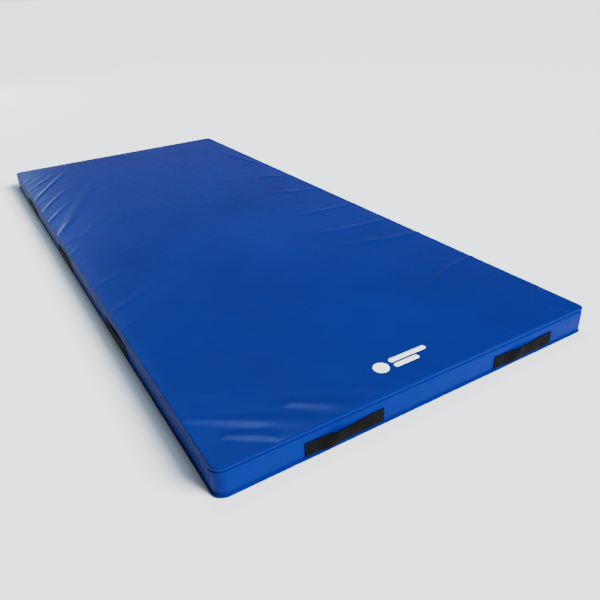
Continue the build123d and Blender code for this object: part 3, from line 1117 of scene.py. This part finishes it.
def coil_tooth():
    """One turn of the coil: a bent bar, cut open at its back, modelled once and copied along the zip."""
    deselect()
    bpy.ops.mesh.primitive_torus_add(major_segments=10, minor_segments=5, major_radius=0.62 * MM,
                                     minor_radius=0.3 * MM, rotation=(math.pi / 2, 0, 0))
    tooth = bpy.context.object
    tooth.scale = (1.0, 0.85, 1.25)
    apply_place(tooth)
    bpy.ops.object.mode_set(mode="EDIT")
    bpy.ops.mesh.select_all(action="SELECT")
    bpy.ops.mesh.bisect(plane_co=(-0.42 * MM, 0, 0), plane_no=(-1, 0, 0), clear_outer=True, use_fill=True)
    bpy.ops.object.mode_set(mode="OBJECT")
    points = np.array([v.co for v in tooth.data.vertices])
    faces = [tuple(p.vertices) for p in tooth.data.polygons]
    bpy.data.objects.remove(tooth)
    return points, faces


def make_coil(name):
    points, faces = coil_tooth()
    low, high = (Vector(c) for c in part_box("zip_coil_" + name))
    hand = 1 if name == "upper" else -1
    count = int((high.y - low.y) / COIL_PITCH)
    middle_x = (low.x + high.x) / 2
    middle_z = (low.z + high.z) / 2 - hand * COIL_OVERLAP
    start_y = low.y + COIL_PITCH / 2 + (COIL_PITCH / 2 if name == "upper" else 0.0)
    all_points, all_faces = [], []
    for i in range(count):
        offset = np.array((middle_x, start_y + i * COIL_PITCH, middle_z))
        start = len(all_points)
        all_points += list(points + offset)
        all_faces += [tuple(start + k for k in face) for face in faces]
    coil = new_piece("zip_teeth_" + name, all_points, all_faces)
    return dress(coil, ZIP_NYLON, replaces=["zip_coil_" + name])


def eased_copy(node, name, material, body, width):
    """A CAD piece with its hard edges eased, in the same place."""
    source = bpy.data.objects[node]
    deselect()
    mesh = source.data.copy()
    piece = bpy.data.objects.new(name, mesh)
    bpy.context.collection.objects.link(piece)
    activate(piece)
    bpy.ops.object.mode_set(mode="EDIT")
    bpy.ops.mesh.select_all(action="SELECT")
    bpy.ops.mesh.remove_doubles(threshold=0.00001)
    bpy.ops.mesh.dissolve_limited(angle_limit=math.radians(4))
    bpy.ops.object.mode_set(mode="OBJECT")
    ease_edges(piece, width, 3, sharp=40, smooth=35)
    return dress(piece, material, body=body, replaces=[node])


# ------------------------------------------------------------------ stage, light and camera
def make_stage():
    deselect()
    bpy.ops.mesh.primitive_plane_add(size=160, location=(0, 0, cad_box[0][2]))
    floor = bpy.context.object
    floor.name = "floor"
    floor.data.materials.append(studio_floor("pale_floor"))


def soft_light(name, place, target, size, power, colour):
    light = bpy.data.lights.new(name, "AREA")
    light.shape = "RECTANGLE"
    light.size, light.size_y = size
    light.energy = power
    light.color = colour
    lamp = bpy.data.objects.new(name, light)
    bpy.context.collection.objects.link(lamp)
    lamp.location = place
    lamp.rotation_mode = "QUATERNION"
    lamp.rotation_quaternion = (Vector(target) - Vector(place)).to_track_quat("-Z", "Y")
    return lamp


WORLD_STRENGTH = 0.2
HORIZON_STRENGTH = 1.9
KEY_STRENGTH = 13.0
KEY_ANGLE = math.radians(30)
KEY_FROM = (0.7, -1.0, 0.85)
# Place, target, size, power and colour of each
SOFT_LIGHTS = {
    "back_left": ((-1.1, 4.5, 1.25), (-0.35, 0.8, 0), (1.6, 0.7), 46, (0.5, 0.78, 1.0)),
    "over_near": ((0.45, 0.7, 3.6), (-0.35, -0.9, 0), (1.2, 0.8), 60, (0.45, 0.72, 1.0)),
}


def make_light():
    world = bpy.data.worlds.new("studio")
    bpy.context.scene.world = world
    world.use_nodes = True
    background = world.node_tree.nodes["Background"]
    background.inputs["Color"].default_value = (0.93, 0.96, 1, 1)
    tree = world.node_tree
    sky = add_node(tree, "ShaderNodeTexCoord").outputs["Generated"]
    height = add_node(tree, "ShaderNodeSeparateXYZ", {0: sky})
    glow = ranged(tree, height.outputs["Z"], 0.03, 0.08, HORIZON_STRENGTH, WORLD_STRENGTH)
    tree.links.new(glow, background.inputs["Strength"])
    sun = bpy.data.lights.new("key", "SUN")
    sun.energy = KEY_STRENGTH
    sun.angle = KEY_ANGLE
    key = bpy.data.objects.new("key", sun)
    bpy.context.collection.objects.link(key)
    key.visible_glossy = False
    key.rotation_mode = "QUATERNION"
    key.rotation_quaternion = (-Vector(KEY_FROM)).to_track_quat("-Z", "Y")
    for name, settings in SOFT_LIGHTS.items():
        soft_light(name, *settings)


CAMERA_PLACE = (-0.6624, -1.7464, 0.7465)
CAMERA_TARGET = (0.0099, -0.5538, 0.0)
CAMERA_ROLL = math.radians(-3.34)
CAMERA_LENS = 35.5
SENSOR = 36.0


def make_camera():
    data = bpy.data.cameras.new("camera")
    camera = bpy.data.objects.new("camera", data)
    bpy.context.collection.objects.link(camera)
    data.lens = CAMERA_LENS
    data.sensor_width = SENSOR
    data.clip_start, data.clip_end = 0.05, 60
    place, target = Vector(CAMERA_PLACE), Vector(CAMERA_TARGET)
    camera.location = place
    camera.rotation_mode = "QUATERNION"
    level = (target - place).to_track_quat("-Z", "Y")
    camera.rotation_quaternion = level @ Quaternion((0, 0, 1), CAMERA_ROLL)
    bpy.context.scene.camera = camera


# ------------------------------------------------------------------ making the whole mat
make_camera()
block_from_node("foam_base_pad", "foam_base_slab", CHIP_FOAM)
block_from_node("foam_top_pad", "foam_top_layer", CELL_FOAM)
top_panel = make_top_panel()
make_base_panel()
make_anti_slip()
make_band("near", full_height)
make_band("far", full_height)
make_band("left", full_height)
make_band("right", below_zip)
make_mark(top_panel)
sew("top_seam_stitches", seam_stitches(TOP_ROW, SEAM_PITCH), BLUE_THREAD)
sew("base_seam_stitches", seam_stitches(BASE_ROW, SEAM_PITCH), DEEP_THREAD)
for handle in HANDLES:
    make_strap(handle)
    make_patch(handle)
    sew(handle + "_stitches", tab_stitches(handle), BLACK_THREAD)
for half in ("upper", "lower"):
    make_zip_tape(half)
    make_coil(half)
eased_copy("zip_slider", "zip_slide_body", ZIP_METAL, "zip_slider", 0.25 * MM)
eased_copy("zip_puller", "zip_pull_tab", ZIP_METAL, "zip_puller", 0.2 * MM)
eased_copy("zip_stops", "zip_end_stops", ZIP_METAL, "mat", 0.25 * MM)
make_stage()
make_light()
